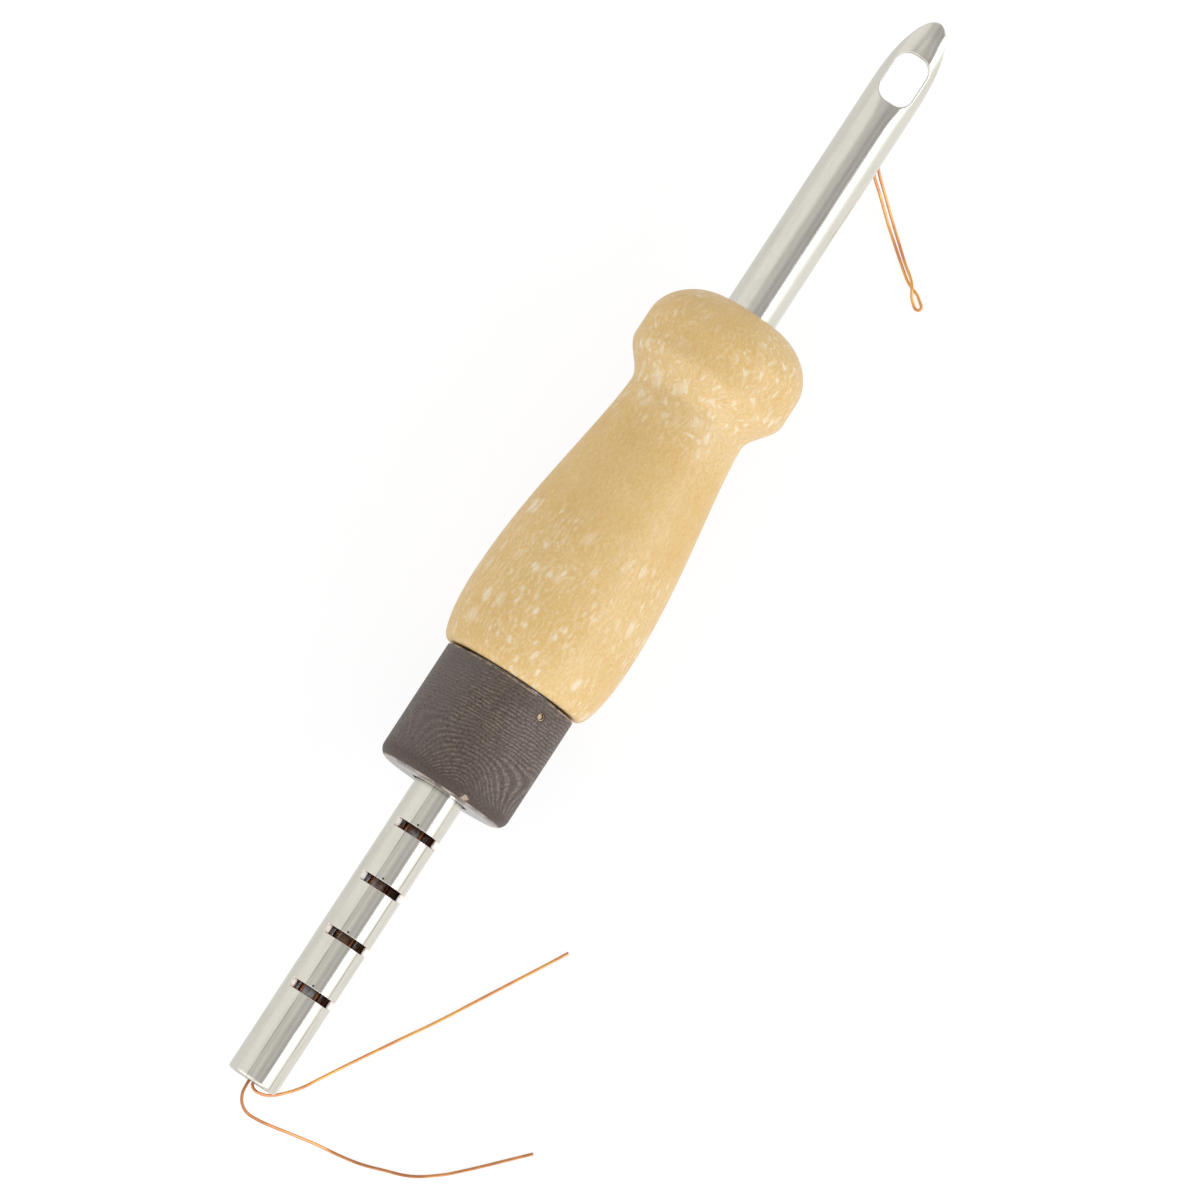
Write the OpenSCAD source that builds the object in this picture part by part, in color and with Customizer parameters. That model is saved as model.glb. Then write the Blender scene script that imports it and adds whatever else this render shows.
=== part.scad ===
// Adjustable punch needle for bulky yarn. A steel tube slides through a hand grip. A flat fork locks it
// at one of its notches when the rear collar is turned a quarter turn.
// X runs along the tool towards the needle's tip, Z is up, and all sizes are in millimetres.
// The origin lies under the middle of the tool, on the table that the grip's belly touches.

/* [Needle tube] */
// Outside diameter of the needle tube
tube_d = 7; // [6.6:0.1:7.4]
// Wall thickness of the needle tube
tube_wall = 0.75; // [0.5:0.05:0.9]
// Radius that rounds the outer edge of the tube's tail
tail_round = 0.5; // [0.2:0.05:0.5]
// How far the needle's tip stands out of the grip's knob
needle_out = 44.3; // [40:0.1:60]
// Length of the slanting cut that makes the tip
bevel_len = 19.8; // [16:0.1:24]

/* [Eye] */
// Length of the eye along the needle
eye_len = 7; // [6:0.1:8]
// Width of the eye
eye_w = 4.8; // [4.4:0.1:5.2]
// Radius of the eye's corners
eye_round = 1.8; // [1.2:0.1:2.1]
// Distance from the needle's tip to the front end of the eye
eye_setback = 5.1; // [4:0.1:7]

/* [Notches] */
// Number of notches, which is the number of loop heights
notch_count = 5; // [2:1:6]
// Distance from one notch to the next
notch_pitch = 8; // [6:0.5:10]
// Distance from the tube's tail to the last notch
notch_setback = 13.2; // [10:0.1:18]
// Depth of the saw cut, measured from the outside of the tube
notch_depth = 2.27; // [1.6:0.01:2.4]
// Direction of the cuts, turned from straight up towards the side where the threader's tails lie
notch_turn = 21; // [0:1:40]

/* [Grip] */
// Length of the grip
grip_len = 55.2; // [52:0.1:60]
// Diameter of the grip's rear edge
grip_rear_d = 19; // [18.8:0.1:20]
// Diameter of the grip's belly
belly_d = 23.2; // [22.2:0.1:26]
// Distance from the grip's rear edge to the belly's widest place
belly_at = 9; // [7:0.1:12]
// Diameter of the waist
waist_d = 16.5; // [15:0.1:18]
// Distance from the grip's rear edge to the waist
waist_at = 40.4; // [38:0.1:42]
// Diameter of the front knob
knob_d = 22.1; // [20:0.1:22.2]
// Length over which the waist rises to the knob
knob_rise = 5.3; // [4:0.1:6]
// Length over which the knob rounds off to its front face
knob_nose = 6.2; // [4:0.1:6.5]
// Diameter of the flat land at the front of the knob
knob_land_d = 9.4; // [8.6:0.1:10.5]

/* [Collar] */
// Outside diameter of the collar
collar_d = 18.6; // [18.2:0.1:18.8]
// Length of the collar
collar_len = 16.5; // [15:0.1:20]
// Radius that rounds the collar's rear edge
collar_round = 1.6; // [0.8:0.1:2]
// Width of the small bevel on the collar's front edge
collar_edge = 0.2; // [0.1:0.05:0.3]
// Thickness of the collar's end wall
end_wall = 1.4; // [1.4:0.1:2]
// Depth of the scroll groove in the end wall
scroll_depth = 0.7; // [0.5:0.05:0.8]
// Gap between the collar and the grip
collar_gap = 0.3; // [0.2:0.05:0.5]
// Quarter turn of the collar from open to locked
collar_travel = 90; // [60:5:90]

/* [Collar pin] */
// Diameter of the roll pin that keeps the collar on
collar_pin_d = 1.1; // [1:0.05:1.3]
// Wall thickness of the roll pin
collar_pin_wall = 0.22; // [0.15:0.01:0.3]
// Distance from the collar's front edge to the roll pin
collar_pin_setback = 2.15; // [1.8:0.05:3]
// Direction of the roll pin with the collar open
collar_pin_turn = 36.5; // [0:0.5:60]

/* [Core sleeve] */
// Diameter of the sleeve inside the collar
spigot_d = 13.9; // [13.7:0.1:14.2]
// Diameter of the sleeve inside the grip
shank_d = 11; // [10:0.1:12]
// Length of the sleeve inside the grip
shank_len = 23; // [15:0.5:30]
// Depth of the groove that the roll pin runs in
pin_groove_depth = 1; // [0.8:0.1:1.4]

/* [Lock fork] */
// Thickness of the fork's plate
fork_t = 1; // [0.8:0.05:1.1]
// Width of the fork
fork_w = 9.2; // [9:0.1:9.3]
// Height of the fork's crossbar, which drops into a notch
fork_bar = 1.5; // [1.2:0.1:1.6]
// Length of the fork's legs below the needle's axis with the fork open
fork_leg = 2.6; // [2.4:0.05:2.7]
// Diameter of the stud that runs in the scroll groove
stud_d = 0.9; // [0.7:0.05:0.95]
// Metal between the stud and the end of the fork's leg
stud_edge = 0.2; // [0.1:0.05:0.3]

/* [Friction ring] */
// Thickness of the rubber ring
ring_t = 1.5; // [1.2:0.1:1.8]
// Distance from the collar's rear face to the ring's middle
ring_at = 8.6; // [6:0.1:10]

/* [Threader] */
// Diameter of the copper wire
wire_d = 0.4; // [0.3:0.05:0.4]
// Distance between the two strands inside the tube
strand_gap = 2.1; // [1.6:0.1:2.4]
// Distance between the two strands in the tail's mouth
mouth_gap = 0.6; // [0.5:0.05:0.8]
// Length over which the strands part
strand_part = 12; // [6:0.5:14]

/* [Clearances] */
// Between the tube and what it slides in, on each side
tube_clear = 0.05; // [0.03:0.01:0.08]
// Between the tube and the hole in the collar's end wall, on each side
end_hole_clear = 0.2; // [0.1:0.05:0.3]
// Between the collar and the spigot, on each side
collar_clear = 0.05; // [0.03:0.01:0.08]
// Between the fork and the faces it slides along
fork_clear = 0.1; // [0.05:0.01:0.1]
// Between the tube and the fork's legs, on each side
leg_clear = 0.08; // [0.05:0.01:0.1]
// Round the stud and the roll pin, in their grooves
stud_clear = 0.06; // [0.04:0.01:0.08]
// Glue gap between the sleeve and the grip, and round the roll pin in the collar
glue_gap = 0.02; // [0.01:0.01:0.03]

/* [Hidden] */

$fn = 96;

// Small overlap that lets a cut pass its own face
cut = 0.01;
// How far a cut's outline reaches past the shape it cuts
past = 1;
// Longer than any cut that passes right through
far = 40;

tube_r = tube_d / 2;
bore_r = tube_r - tube_wall;
belly_r = belly_d / 2;
waist_r = waist_d / 2;
knob_r = knob_d / 2;
knob_land_r = knob_land_d / 2;
grip_rear_r = grip_rear_d / 2;
collar_r = collar_d / 2;
spigot_r = spigot_d / 2;
shank_r = shank_d / 2;
collar_bore_r = spigot_r + collar_clear;
end_hole_r = tube_r + end_hole_clear;
wire_r = wire_d / 2;

// Places along the needle's axis, from the collar's rear face
fork_x = end_wall + fork_clear + fork_t / 2;
sleeve_x = end_wall + collar_clear;
channel_x = fork_x + fork_t / 2 + fork_clear;
grip_x = collar_len + collar_gap;
knob_front_x = grip_x + grip_len;
tip_x = knob_front_x + needle_out;
tail_x = fork_x - notch_setback - (notch_count - 1) * notch_pitch;
pin_x = collar_len - collar_pin_setback;
middle_x = (tail_x + tip_x) / 2;

// The plane of the saw cuts, and how far the fork drops onto it
notch_w = fork_t + 2 * fork_clear;
notch_floor = tube_r - notch_depth;
fork_open = tube_r + fork_clear;
fork_travel = fork_open - notch_floor - fork_clear / 2;
fork_gap_r = tube_r + leg_clear;

heel_x = tip_x - bevel_len;

// Puts a shape that is drawn round the needle's axis, from the collar's rear face, into the tool's frame
module in_tool() {
    translate([-middle_x, 0, belly_r]) children();
}

// Turns an outline of [distance along the axis, radius] points round the needle's axis
module turned(points) {
    rotate([90, 0, 90]) rotate_extrude() polygon([for (p = points) [p[1], p[0]]]);
}

// A round bar along the needle's axis
module bar(x, r, length) {
    translate([x, 0, 0]) rotate([0, 90, 0]) cylinder(r = r, h = length);
}

// Points on an arc, used to round the corner of a turned outline
function arc_points(x, r, radius, from, to, steps = 8) =
    [for (i = [0:steps]) let (a = from + (to - from) * i / steps) [x + radius * cos(a), r + radius * sin(a)]];

// Powers that shape the grip's shoulder, flank and nose, and the points along each stretch
shoulder_power = 0.41;
flank_power = 1.4;
nose_power = 1.2;
shoulder_steps = 10;
flank_steps = 16;
rise_steps = 12;
nose_steps = 14;
nose_x = grip_len - knob_nose;

// Outline of the grip from its rear edge to its front land
grip_outline = concat(
    [for (i = [0:shoulder_steps]) let (w = pow(i / shoulder_steps, 2))
        [belly_at * w, grip_rear_r + (belly_r - grip_rear_r) * pow(sin(90 * w), shoulder_power)]],
    [for (i = [1:flank_steps]) let (w = i / flank_steps)
        [belly_at + (waist_at - belly_at) * w, waist_r + (belly_r - waist_r) * pow(cos(90 * w), flank_power)]],
    [for (i = [1:rise_steps]) let (w = i / rise_steps)
        [waist_at + knob_rise * w, waist_r + (knob_r - waist_r) * (1 - cos(180 * w)) / 2]],
    [for (i = [0:nose_steps]) let (a = 90 * i / nose_steps)
        [nose_x + knob_nose * sin(a), knob_land_r + (knob_r - knob_land_r) * pow(cos(a), nose_power)]]);

module handle_grip() {
    color("burlywood") in_tool() translate([grip_x, 0, 0]) difference() {
        turned(concat([[0, 0]], grip_outline, [[grip_len, 0]]));
        bar(-cut, shank_r + glue_gap, shank_len + cut);
        bar(0, tube_r + tube_clear, grip_len + cut);
    }
}

// Sector of a ring that the roll pin runs in, cut into the spigot from outside
module pin_groove() {
    floor_r = spigot_r - pin_groove_depth;
    half_w = collar_pin_d / 2 + stud_clear;
    side = asin(half_w / floor_r);
    translate([pin_x - half_w, 0, 0]) rotate([90, 0, 90]) rotate([0, 0, 90 + collar_pin_turn - side])
        rotate_extrude(angle = collar_travel + 2 * side)
            translate([floor_r, 0]) square([pin_groove_depth + past, 2 * half_w]);
}

// Channel across the sleeve's rear end, in which the fork slides
module fork_channel() {
    rotate([notch_turn, 0, 0]) translate([sleeve_x - cut, -fork_w / 2 - fork_clear / 2, -far / 2])
        cube([channel_x - sleeve_x + cut, fork_w + fork_clear, far]);
}

module core_sleeve() {
    ring_floor = collar_bore_r - ring_t - 2 * glue_gap;
    ring_from = ring_at - ring_t / 2 - fork_clear;
    ring_to = ring_at + ring_t / 2 + fork_clear;
    color("silver") in_tool() difference() {
        union() {
            bar(sleeve_x, spigot_r, grip_x - sleeve_x);
            bar(grip_x - cut, shank_r, shank_len + cut);
        }
        bar(0, tube_r + tube_clear, grip_x + shank_len + cut);
        fork_channel();
        pin_groove();
        turned([[ring_from, ring_floor], [ring_to, ring_floor], [ring_to, spigot_r + past],
            [ring_from, spigot_r + past]]);
    }
}

module friction_ring() {
    color("dimgray") in_tool() translate([ring_at, 0, 0]) rotate([0, 90, 0]) rotate_extrude()
        translate([collar_bore_r - glue_gap - ring_t / 2, 0]) circle(d = ring_t);
}

// Where the stud stands across the fork, and how far below the axis with the fork open
stud_side = (fork_w / 2 + fork_gap_r) / 2;
stud_drop = fork_leg - stud_d / 2 - stud_edge;

// The stud's path, seen from the turning collar, as [across, up] with the notch direction upwards
function scroll_at(turn) = let (drop = stud_drop + fork_travel * turn / collar_travel)
    [stud_side * cos(turn) - drop * sin(turn), -drop * cos(turn) - stud_side * sin(turn)];
function scroll_normal(turn) = let (d = scroll_at(turn + 0.5) - scroll_at(turn - 0.5)) [-d[1], d[0]] / norm(d);

// Scroll groove in the end wall that drives the stud when the collar turns
module scroll_groove() {
    half_w = stud_d / 2 + stud_clear;
    last = 18;
    turns = [for (i = [0:last]) collar_travel * i / last];
    inner = [for (i = [0:last]) scroll_at(turns[i]) - half_w * scroll_normal(turns[i])];
    outer = [for (i = [last:-1:0]) scroll_at(turns[i]) + half_w * scroll_normal(turns[i])];
    rotate([notch_turn, 0, 0]) translate([end_wall - scroll_depth, 0, 0]) rotate([90, 0, 90])
        linear_extrude(scroll_depth + cut) {
            polygon(concat(inner, outer));
            translate(scroll_at(0)) circle(r = half_w);
            translate(scroll_at(collar_travel)) circle(r = half_w);
        }
}

module lock_collar() {
    color("dimgray") in_tool() difference() {
        turned(concat([[0, 0]],
            arc_points(collar_round, collar_r - collar_round, collar_round, 180, 90),
            [[collar_len - collar_edge, collar_r], [collar_len, collar_r - collar_edge], [collar_len, 0]]));
        bar(end_wall, collar_bore_r, collar_len);
        bar(-past, end_hole_r, end_wall + 2 * past);
        scroll_groove();
        rotate([collar_pin_turn, 0, 0]) translate([pin_x, 0, 0])
            cylinder(r = collar_pin_d / 2 + glue_gap, h = far);
    }
}

module collar_pin() {
    inner_r = spigot_r - pin_groove_depth + 2 * stud_clear;
    outer_r = sqrt(pow(collar_r, 2) - pow(collar_pin_d / 2, 2)) - glue_gap;
    slit = collar_pin_wall / 2;
    color("goldenrod") in_tool() rotate([collar_pin_turn, 0, 0]) translate([pin_x, 0, inner_r])
        difference() {
            cylinder(d = collar_pin_d, h = outer_r - inner_r);
            translate([0, 0, -cut]) cylinder(r = collar_pin_d / 2 - collar_pin_wall, h = far);
            translate([0, -slit / 2, -cut]) cube([collar_pin_d, slit, far]);
        }
}

module lock_fork() {
    color("slategray") in_tool() rotate([notch_turn, 0, 0])
        translate([fork_x - fork_t / 2, 0, 0]) rotate([90, 0, 90]) {
            linear_extrude(fork_t) difference() {
                translate([-fork_w / 2, -fork_leg]) square([fork_w, fork_leg + fork_open + fork_bar]);
                translate([-fork_gap_r, -fork_leg - cut]) square([2 * fork_gap_r, fork_leg + fork_open + cut]);
            }
            translate([stud_side, -stud_drop, -scroll_depth])
                cylinder(d = stud_d, h = scroll_depth + cut);
        }
}

// One saw cut across the tube
module notch(x) {
    rotate([notch_turn, 0, 0]) translate([x - notch_w / 2, -far / 2, notch_floor]) cube([notch_w, far, far]);
}

module eye_hole() {
    inner_len = eye_len - 2 * eye_round;
    inner_w = eye_w - 2 * eye_round;
    translate([tip_x - eye_setback - eye_len / 2, 0, 0]) linear_extrude(far) {
        square([inner_len, eye_w], center = true);
        square([eye_len, inner_w], center = true);
        for (i = [-1, 1], j = [-1, 1]) translate([i * inner_len / 2, j * inner_w / 2]) circle(r = eye_round);
    }
}

module needle_tube() {
    color("gainsboro") in_tool() difference() {
        turned(concat([[tail_x, bore_r]],
            arc_points(tail_x + tail_round, tube_r - tail_round, tail_round, 180, 90, 5),
            [[tip_x, tube_r], [tip_x, bore_r]]));
        // The bevel faces down and runs from the heel up to the tip
        rotate([90, 0, 0]) translate([0, 0, -far / 2]) linear_extrude(far)
            polygon([[heel_x, -tube_r], [tip_x, tube_r], [tip_x + past, tube_r], [tip_x + past, -2 * tube_r],
                [heel_x - past, -2 * tube_r]]);
        eye_hole();
        for (i = [0:notch_count - 1]) notch(fork_x - i * notch_pitch);
    }
}

// Route of the loop that stands out of the bevel, from one strand to the other
loop_route = [[59.95, 1.05, 9.3], [61.6, 1.05, 9.3], [63.1, 1.05, 9.25], [64.6, 0.9, 8.5], [65.4, 0.45, 7.3],
    [65.3, -0.35, 6.2], [64.2, -1.3, 5.4], [62.7, -2.45, 4.7], [61.15, -3.75, 3.95], [59.6, -5.7, 2.6],
    [58.05, -7.65, 1.4], [56.8, -9.2, 0.7], [55.2, -11.15, 0.35], [53.6, -13.05, 0.35], [52.35, -14.65, 0.6],
    [51.5, -15.35, 0.75], [50.5, -15.95, 0.55], [49.8, -16.7, 0.3], [49.5, -17.1, 0.25], [49.45, -17.45, 0.25],
    [49.6, -17.7, 0.25], [49.9, -17.8, 0.25], [50.2, -17.65, 0.25], [50.6, -17.15, 0.25],
    [51.1, -16.45, 0.25], [51.5, -15.35, 0.25], [52, -14.35, 0.25], [53.2, -12.75, 0.25], [54.75, -10.8, 0.35],
    [56.3, -8.8, 0.7], [57.55, -7.25, 1.4], [59.1, -5.3, 2.6], [60.65, -3.3, 4.1], [62.1, -2.55, 5.2],
    [63.4, -1.95, 6.2], [64.1, -1.5, 7.2], [64.1, -1.2, 8.4], [63.1, -1.05, 9.25], [61.6, -1.05, 9.3],
    [59.95, -1.05, 9.3]];

// Route of the longer tail, from the tube's tail to its free end on the table
tail_long_route = [[-79.75, -0.3, 9.09], [-80.2, -0.5, 9.09], [-80.45, -1.3, 8.95], [-80.1, -2.65, 8.3],
    [-79.1, -3.9, 7.3], [-77.05, -5.65, 5.6], [-74.6, -7.1, 4], [-72, -8.6, 2.5], [-69.3, -10.2, 1.2],
    [-66.9, -11.65, 0.5], [-64.5, -13.1, 0.25], [-61.6, -14.9, 0.25], [-58.7, -16.6, 0.25],
    [-56.2, -18, 0.25], [-53, -19.8, 0.25], [-50, -21.5, 0.25], [-47, -23.2, 0.25], [-44, -24.85, 0.25]];

// Route of the shorter tail
tail_short_route = [[-79.75, 0.3, 9.09], [-80.7, 0.25, 9.09], [-81.6, 0.1, 9], [-82.7, -0.6, 8.5],
    [-83.3, -1.75, 7.8], [-83.3, -3.3, 6.8], [-83, -5.2, 5.5], [-82.6, -7.1, 4.1], [-82.2, -9.1, 2.7],
    [-81.8, -11.2, 1.4], [-81.55, -13, 0.5], [-81.3, -14.8, 0.25], [-80.8, -17.3, 0.25],
    [-79.95, -19.9, 0.25], [-78.6, -23.5, 0.25], [-76.4, -26.6, 0.25], [-74.6, -28.5, 0.25],
    [-72.75, -30.3, 0.25], [-70.3, -32.6, 0.25], [-67.8, -34.95, 0.25]];

wire_sides = 8;

// Direction of a route at point i
function heading(route, i) = let (d = route[min(i + 1, len(route) - 1)] - route[max(i - 1, 0)]) d / norm(d);

// Side direction of each ring, carried along the route so that the rings don't twist
function ring_sides(heads, i = 0, last_side = [0, -1, 0]) = i == len(heads) ? [] :
    let (w = last_side - (last_side * heads[i]) * heads[i], side = w / norm(w))
        concat([side], ring_sides(heads, i + 1, side));

// Wire swept along a route; its ends are square to the headings given
module wire(route, first_heading, last_heading) {
    last = len(route) - 1;
    n = wire_sides;
    heads = [for (i = [0:last])
        i == 0 ? first_heading : i == last && last_heading != undef ? last_heading : heading(route, i)];
    sides = ring_sides(heads);
    points = [for (i = [0:last], k = [0:n - 1]) let (a = 360 * k / n)
        route[i] + wire_r * (cos(a) * sides[i] + sin(a) * cross(heads[i], sides[i]))];
    polyhedron(points, concat(
        [[for (k = [0:n - 1]) k]], [[for (k = [n - 1:-1:0]) last * n + k]],
        [for (i = [0:last - 1], k = [0:n - 1]) let (m = (k + 1) % n)
            each [[i * n + k, (i + 1) * n + k, (i + 1) * n + m], [i * n + k, (i + 1) * n + m, i * n + m]]]));
}

// Height of a strand that lies on the floor of the bore, to one side of the middle
function strand_z(y) = -sqrt(pow(bore_r - wire_r - glue_gap, 2) - pow(y, 2));

// The strands lie close together in the tail's mouth and part over the first stretch
part_steps = 6;
function strand_y(w) = (mouth_gap + (strand_gap - mouth_gap) * (1 - cos(180 * w)) / 2) / 2;
function strand_route(side) = concat(
    [for (i = [0:part_steps]) let (y = side * strand_y(i / part_steps))
        [tail_x + strand_part * i / part_steps, y, strand_z(y)]],
    [[heel_x, side * strand_gap / 2, strand_z(strand_gap / 2)]]);

module threader_strands() {
    color("peru") in_tool() for (side = [-1, 1]) wire(strand_route(side), [1, 0, 0], [1, 0, 0]);
}

module threader_loop() {
    color("peru") wire(loop_route, [1, 0, 0], [-1, 0, 0]);
}

module threader_tail_long() {
    color("peru") wire(tail_long_route, [-1, 0, 0]);
}

module threader_tail_short() {
    color("peru") wire(tail_short_route, [-1, 0, 0]);
}

handle_grip();
core_sleeve();
friction_ring();
lock_collar();
collar_pin();
lock_fork();
needle_tube();
threader_strands();
threader_loop();
threader_tail_long();
threader_tail_short();
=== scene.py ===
# %% [markdown]
# # An adjustable punch needle
# A punch needle makes rugs. Bulky yarn runs through a steel tube, the tube's bevelled tip is punched
# through a backing cloth, and the loops stay behind. On this one the tube slides through the hand grip
# and a turning collar locks it at one of its saw cuts, so that the loops can be made longer or shorter.
#
# The working model exists already, with its pieces and joints in place. This script loads it as a fixed
# frame and dresses it: finer meshes, materials, light and a camera. Everything is in metres in the model's
# own frame. X runs along the needle to its tip, Z is up, and the tool lies on the table at Z = 0.

# %% Load the working model
import math

import bpy
import numpy as np
from mathutils import Matrix, Vector


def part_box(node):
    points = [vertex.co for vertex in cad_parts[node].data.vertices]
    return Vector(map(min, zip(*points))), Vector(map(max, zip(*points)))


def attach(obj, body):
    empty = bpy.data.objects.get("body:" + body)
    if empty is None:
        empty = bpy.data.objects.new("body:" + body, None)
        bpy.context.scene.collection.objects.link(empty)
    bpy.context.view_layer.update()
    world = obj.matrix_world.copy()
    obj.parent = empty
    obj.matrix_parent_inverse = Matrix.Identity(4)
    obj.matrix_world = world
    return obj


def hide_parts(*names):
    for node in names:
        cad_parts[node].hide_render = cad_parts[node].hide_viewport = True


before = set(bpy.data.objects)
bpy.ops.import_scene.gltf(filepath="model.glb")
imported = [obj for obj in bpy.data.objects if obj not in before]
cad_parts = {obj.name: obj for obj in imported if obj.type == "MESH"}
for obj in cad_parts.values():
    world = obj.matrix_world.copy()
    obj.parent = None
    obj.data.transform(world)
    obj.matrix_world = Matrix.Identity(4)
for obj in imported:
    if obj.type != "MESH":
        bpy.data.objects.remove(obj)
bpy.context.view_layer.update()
bpy.context.scene.view_settings.view_transform = "Standard"
MM = 0.001
print("pieces of the working model:", sorted(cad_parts))

# %% [markdown]
# The main places are read from the frame, so that the dressed pieces sit where the working pieces sit.
# They are kept in millimetres, and distances across the tool are counted from the needle's axis, which lies
# at the middle of the grip's height.

# %% Places along the tool
def span(node):
    low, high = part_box(node)
    return low.x / MM, high.x / MM

axis_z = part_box("handle_grip")[1].z / 2
tail_x, tip_x = span("needle_tube")
collar_x, rim_x = span("lock_collar")
grip_x, knob_front_x = span("handle_grip")
TUBE_R = 3.5
BORE_R = 2.75
BEVEL_LENGTH = 19.8
WIRE_D = 0.4
heel_x = tip_x - BEVEL_LENGTH
axis_mm = axis_z / MM
print("tube from", round(tail_x, 2), "to", round(tip_x, 2), "mm, axis", round(axis_mm, 2), "mm up")

# %% [markdown]
# ## The camera
# The photograph looks almost straight down on the tool from about a metre away, with the tip at the upper
# right. The camera is tipped 5.3 degrees towards the tail, which is why the collar's end face shows as a
# thin sickle. Its right and up directions are built from the two directions of the tool in the picture.

# %% Camera
TIP_ANGLE = math.radians(56.92)
TILT = math.radians(5.3)
LOOK_AT = Vector((-5.11 * MM, -3.71 * MM, axis_z))
DISTANCE, SENSOR_WIDTH, LENS = 1.0, 36, 237.9

back = Vector((-math.sin(TILT), 0, math.cos(TILT)))
tipward = Vector((math.cos(TILT), 0, math.sin(TILT)))
sideward = Vector((0, 1, 0))
right = tipward * math.cos(TIP_ANGLE) - sideward * math.sin(TIP_ANGLE)
up = tipward * math.sin(TIP_ANGLE) + sideward * math.cos(TIP_ANGLE)
facing = Matrix((right, up, back)).transposed().to_4x4()

camera = bpy.data.objects.new("camera", bpy.data.cameras.new("camera"))
bpy.context.scene.collection.objects.link(camera)
camera.data.sensor_width = SENSOR_WIDTH
camera.data.lens = LENS
camera.data.clip_start, camera.data.clip_end = 0.05, 20
camera.matrix_world = Matrix.Translation(LOOK_AT + back * DISTANCE) @ facing
bpy.context.scene.camera = camera
print("camera at", [round(c, 3) for c in camera.location])

# %% [markdown]
# ## The threader
# A copper wire is folded double and pushed through the tube. It hooks the yarn and draws it in. The folded
# end hangs out of the bevel and is pinched into a tiny eye at its end, and the two tails leave the tube's
# back end. Such wire is springy, so it doesn't sag like string: it bends over the rim, comes down to the
# table and lies there. Each route has the points of the working model, so the wire lies where its solid is.
#
# A Bezier curve suits a wire: it passes through every point of its route with no kinks and has its round
# section for free. Each point's handles lie along the line from the point before to the point after. The
# section's own radius is 1, so the wire's thickness comes from its points' radius.

# %% Routes of the threader, in millimetres
loop_route = [
    (59.95, 1.05, 9.3), (61.6, 1.05, 9.3), (63.1, 1.05, 9.25), (64.6, 0.9, 8.5), (65.4, 0.45, 7.3),
    (65.3, -0.35, 6.2), (64.2, -1.3, 5.4), (62.7, -2.45, 4.7), (61.15, -3.75, 3.95), (59.6, -5.7, 2.6),
    (58.05, -7.65, 1.4), (56.8, -9.2, 0.7), (55.2, -11.15, 0.35), (53.6, -13.05, 0.35),
    (52.35, -14.65, 0.6), (51.5, -15.35, 0.75), (50.5, -15.95, 0.55), (49.8, -16.7, 0.3),
    (49.5, -17.1, 0.25), (49.45, -17.45, 0.25), (49.6, -17.7, 0.25), (49.9, -17.8, 0.25),
    (50.2, -17.65, 0.25), (50.6, -17.15, 0.25), (51.1, -16.45, 0.25), (51.5, -15.35, 0.25),
    (52, -14.35, 0.25), (53.2, -12.75, 0.25), (54.75, -10.8, 0.35), (56.3, -8.8, 0.7),
    (57.55, -7.25, 1.4), (59.1, -5.3, 2.6), (60.65, -3.3, 4.1), (62.1, -2.55, 5.2), (63.4, -1.95, 6.2),
    (64.1, -1.5, 7.2), (64.1, -1.2, 8.4), (63.1, -1.05, 9.25), (61.6, -1.05, 9.3), (59.95, -1.05, 9.3)]
tail_long_route = [
    (-79.75, -0.3, 9.09), (-80.2, -0.5, 9.09), (-80.45, -1.3, 8.95), (-80.1, -2.65, 8.3),
    (-79.1, -3.9, 7.3), (-77.05, -5.65, 5.6), (-74.6, -7.1, 4), (-72, -8.6, 2.5), (-69.3, -10.2, 1.2),
    (-66.9, -11.65, 0.5), (-64.5, -13.1, 0.25), (-61.6, -14.9, 0.25), (-58.7, -16.6, 0.25),
    (-56.2, -18, 0.25), (-53, -19.8, 0.25), (-50, -21.5, 0.25), (-47, -23.2, 0.25), (-44, -24.85, 0.25)]
tail_short_route = [
    (-79.75, 0.3, 9.09), (-80.7, 0.25, 9.09), (-81.6, 0.1, 9), (-82.7, -0.6, 8.5), (-83.3, -1.75, 7.8),
    (-83.3, -3.3, 6.8), (-83, -5.2, 5.5), (-82.6, -7.1, 4.1), (-82.2, -9.1, 2.7), (-81.8, -11.2, 1.4),
    (-81.55, -13, 0.5), (-81.3, -14.8, 0.25), (-80.8, -17.3, 0.25), (-79.95, -19.9, 0.25),
    (-78.6, -23.5, 0.25), (-76.4, -26.6, 0.25), (-74.6, -28.5, 0.25), (-72.75, -30.3, 0.25),
    (-70.3, -32.6, 0.25), (-67.8, -34.95, 0.25)]

# %% Wires along the routes
HANDLE_SHARE = 0.36

def wire(name, *routes):
    """A wire of one or more strands, which all start along X."""
    curve = bpy.data.curves.new(name, "CURVE")
    curve.dimensions = "3D"
    curve.bevel_depth = 1
    curve.bevel_resolution = 4
    curve.resolution_u = 8
    curve.use_fill_caps = True
    for route in routes:
        places = [Vector(p) * MM for p in route]
        spline = curve.splines.new("BEZIER")
        spline.bezier_points.add(len(places) - 1)
        for i, point in enumerate(spline.bezier_points):
            before, after = places[max(i - 1, 0)], places[min(i + 1, len(places) - 1)]
            heading = (after - before).normalized()
            if i == 0:
                heading = Vector((math.copysign(1, heading.x), 0, 0))
            point.handle_left_type = point.handle_right_type = "FREE"
            point.co = places[i]
            point.radius = WIRE_D / 2 * MM
            point.handle_left = places[i] - heading * (places[i] - before).length * HANDLE_SHARE
            point.handle_right = places[i] + heading * (after - places[i]).length * HANDLE_SHARE
    piece = bpy.data.objects.new(name, curve)
    bpy.context.scene.collection.objects.link(piece)
    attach(piece, "needle")
    return piece

loop = wire("threader_loop_wire", loop_route)
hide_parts("threader_loop")
tail_long = wire("threader_tail_long_wire", tail_long_route)
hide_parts("threader_tail_long")
tail_short = wire("threader_tail_short_wire", tail_short_route)
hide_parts("threader_tail_short")

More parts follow.
